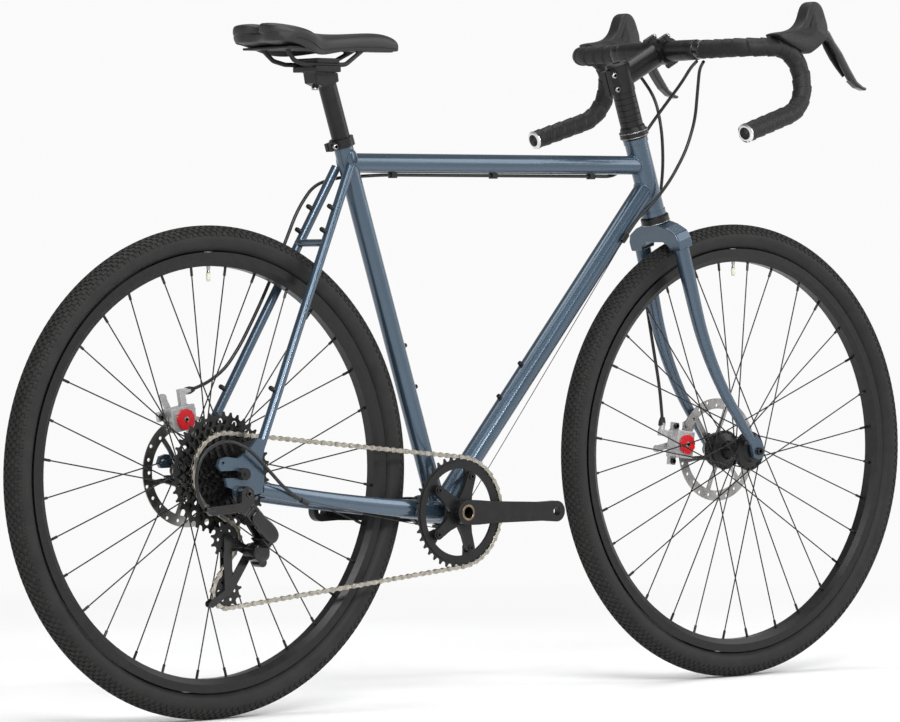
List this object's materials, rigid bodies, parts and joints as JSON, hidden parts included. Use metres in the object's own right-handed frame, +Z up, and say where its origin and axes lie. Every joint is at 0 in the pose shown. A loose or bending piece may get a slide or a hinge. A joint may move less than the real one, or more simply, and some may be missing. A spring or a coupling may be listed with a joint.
{
  "type": "road bicycle",
  "caption": "Steel drop-bar road bicycle with disc brakes, one chainring, rear derailleur, raked lugged fork and wide tyres, shown without pedals.",
  "frame": {"origin": "on the ground, midway between the two axles, in the bicycle's middle plane", "axes": "+X forward along the bicycle, +Y to the rider's left, +Z up; the chain is on the -Y side"},
  "size_m": [1.7217, 0.51, 1.0379],
  "materials": {
    "frame_paint": "satin metallic",
    "black_anodised": "satin",
    "bright_steel": "brushed",
    "silver_alloy": "satin",
    "chrome_plug": "polished",
    "chain_steel": "nickel plated",
    "dark_steel": "satin",
    "tyre": "matte",
    "rubber": "matte",
    "tape": "matte",
    "saddle_cover": "satin",
    "black_plastic": "satin",
    "red_plastic": "gloss"
  },
  "bodies": {
    "frame": {"head_tube": "frame_paint", "top_tube": "frame_paint", "down_tube": "frame_paint", "seat_tube": "frame_paint", "bottom_bracket_shell": "frame_paint", "chainstays": "frame_paint", "seatstays": "frame_paint", "dropouts": "frame_paint", "frame_bosses": "black_anodised", "headset_cups": "black_anodised", "bottom_bracket_cups": "black_anodised", "seat_collar": "black_anodised", "rear_axle": "dark_steel", "rear_housings": "rubber", "rear_caliper": "silver_alloy", "chain": "chain_steel", "derailleur_body": "black_anodised"},
    "seat": {"seatpost": "black_anodised", "saddle_base": "black_plastic", "saddle_pad": "saddle_cover"},
    "fork": {"fork_crown": "frame_paint", "fork_blades": "frame_paint", "headset_spacers": "black_anodised", "stem": "black_anodised", "handlebar": "black_anodised", "bar_tape": "tape", "bar_plugs": "chrome_plug", "lever_hood_left": "rubber", "lever_hood_right": "rubber", "front_axle": "black_anodised", "control_housings": "rubber", "front_brake_housing": "rubber", "front_caliper": "silver_alloy"},
    "front_wheel": {"front_tyre": "tyre", "front_rim": "black_anodised", "front_spokes": "dark_steel", "front_hub": "black_anodised", "front_rotor": "bright_steel"},
    "rear_wheel": {"rear_tyre": "tyre", "rear_rim": "black_anodised", "rear_spokes": "dark_steel", "rear_hub": "black_anodised", "rear_rotor": "bright_steel"},
    "crankset": {"crank_right": "black_anodised", "crank_left": "black_anodised", "chainring": "black_anodised"},
    "sprockets": {"cassette": "bright_steel"},
    "outer_link": {"derailleur_outer_link": "black_anodised"},
    "inner_link": {"derailleur_inner_link": "black_anodised"},
    "derailleur_carrier": {"derailleur_knuckle": "black_anodised"},
    "pulley_cage": {"derailleur_cage": "black_anodised"},
    "guide_pulley": {"upper_pulley": "black_plastic"},
    "tension_pulley": {"lower_pulley": "black_plastic"},
    "left_lever": {"brake_lever_left": "black_anodised"},
    "right_lever": {"brake_lever_right": "black_anodised"},
    "paddle": {"shift_paddle": "black_plastic"},
    "front_arm": {"front_caliper_arm": "silver_alloy"},
    "rear_arm": {"rear_caliper_arm": "silver_alloy"},
    "front_knob": {"front_pad_knob": "red_plastic"},
    "rear_knob": {"rear_pad_knob": "red_plastic"}
  },
  "joints": [
    {"name": "steering", "type": "hinge", "parent": "frame", "child": "fork", "pos_m": [0.46773, 0, 0.33726], "axis": [-0.309, 0, 0.9511], "range_deg": [-60, 60], "deforming": ["control_housings"]},
    {"name": "front_wheel_spin", "type": "hinge", "parent": "fork", "child": "front_wheel", "pos_m": [0.51, 0, 0.351], "axis": [0, 1, 0], "continuous": true},
    {"name": "rear_wheel_spin", "type": "hinge", "parent": "frame", "child": "rear_wheel", "pos_m": [-0.51, 0, 0.351], "axis": [0, 1, 0], "continuous": true},
    {"name": "crank_spin", "type": "hinge", "parent": "frame", "child": "crankset", "pos_m": [-0.08945, 0, 0.28], "axis": [0, 1, 0], "continuous": true, "deforming": ["chain"]},
    {"name": "cassette_spin", "type": "hinge", "parent": "frame", "child": "sprockets", "pos_m": [-0.51, 0, 0.351], "axis": [0, 1, 0], "continuous": true, "deforming": ["chain"]},
    {"name": "derailleur_swing", "type": "hinge", "parent": "frame", "child": "outer_link", "pos_m": [-0.496, -0.0862, 0.29], "axis": [0.7314, 0, 0.682], "range_deg": [-41, 18], "deforming": ["chain"]},
    {"name": "inner_link_swing", "type": "hinge", "parent": "frame", "child": "inner_link", "pos_m": [-0.496, -0.0682, 0.29], "axis": [0.7314, 0, 0.682], "range_deg": [-41, 18], "deforming": ["chain"]},
    {"name": "carrier_swing", "type": "hinge", "parent": "outer_link", "child": "derailleur_carrier", "pos_m": [-0.4705, -0.07941, 0.26266], "axis": [0.7314, 0, 0.682], "range_deg": [-18, 41], "deforming": ["chain"]},
    {"name": "cage_swing", "type": "hinge", "parent": "derailleur_carrier", "child": "pulley_cage", "pos_m": [-0.472, -0.052, 0.238], "axis": [0, 1, 0], "range_deg": [-28.9, 65.7], "deforming": ["chain"]},
    {"name": "upper_pulley_spin", "type": "hinge", "parent": "pulley_cage", "child": "guide_pulley", "pos_m": [-0.51, -0.03625, 0.2575], "axis": [0, 1, 0], "continuous": true, "deforming": ["chain"]},
    {"name": "lower_pulley_spin", "type": "hinge", "parent": "pulley_cage", "child": "tension_pulley", "pos_m": [-0.5095, -0.03625, 0.184], "axis": [0, 1, 0], "continuous": true, "deforming": ["chain"]},
    {"name": "left_brake_lever", "type": "hinge", "parent": "fork", "child": "left_lever", "pos_m": [0.492, 0.212, 0.989], "axis": [0, 1, 0], "range_deg": [0, 28], "stiffness_Nm_per_rad": 1.2, "springref_deg": -2.86},
    {"name": "right_brake_lever", "type": "hinge", "parent": "fork", "child": "right_lever", "pos_m": [0.492, -0.212, 0.989], "axis": [0, 1, 0], "range_deg": [0, 28], "stiffness_Nm_per_rad": 1.2, "springref_deg": -2.86},
    {"name": "shift_paddle_swing", "type": "hinge", "parent": "right_lever", "child": "paddle", "pos_m": [0.5062, -0.2069, 0.983], "axis": [1, 0, 0], "range_deg": [0, 25], "stiffness_Nm_per_rad": 0.3, "springref_deg": -2.86},
    {"name": "front_caliper_arm_swing", "type": "hinge", "parent": "fork", "child": "front_arm", "pos_m": [0.43474, 0.0395, 0.36158], "axis": [0, 1, 0], "range_deg": [0, 25]},
    {"name": "rear_caliper_arm_swing", "type": "hinge", "parent": "frame", "child": "rear_arm", "pos_m": [-0.5232, 0.052, 0.42584], "axis": [0, 1, 0], "range_deg": [0, 25]},
    {"name": "front_pad_adjust", "type": "hinge", "parent": "fork", "child": "front_knob", "pos_m": [0.43474, 0.0395, 0.36158], "axis": [0, 1, 0], "range_deg": [-180, 180]},
    {"name": "rear_pad_adjust", "type": "hinge", "parent": "frame", "child": "rear_knob", "pos_m": [-0.5232, 0.052, 0.42584], "axis": [0, 1, 0], "range_deg": [-180, 180]},
    {"name": "seatpost_height", "type": "slide", "parent": "frame", "child": "seat", "axis": [-0.309, 0, 0.9511], "range_m": [-0.075, 0.1]}
  ],
  "couplings": [
    {"joint": "cassette_spin", "follows": "crank_spin", "ratio": 1.4286},
    {"joint": "upper_pulley_spin", "follows": "crank_spin", "ratio": -3.3333},
    {"joint": "lower_pulley_spin", "follows": "crank_spin", "ratio": 3.3333},
    {"joint": "inner_link_swing", "follows": "derailleur_swing", "ratio": 1},
    {"joint": "carrier_swing", "follows": "derailleur_swing", "ratio": -1},
    {"joint": "cage_swing", "follows": "derailleur_swing", "ratio": -1.6},
    {"joint": "front_caliper_arm_swing", "follows": "left_brake_lever", "ratio": 0.85},
    {"joint": "rear_caliper_arm_swing", "follows": "right_brake_lever", "ratio": 0.85}
  ]
}
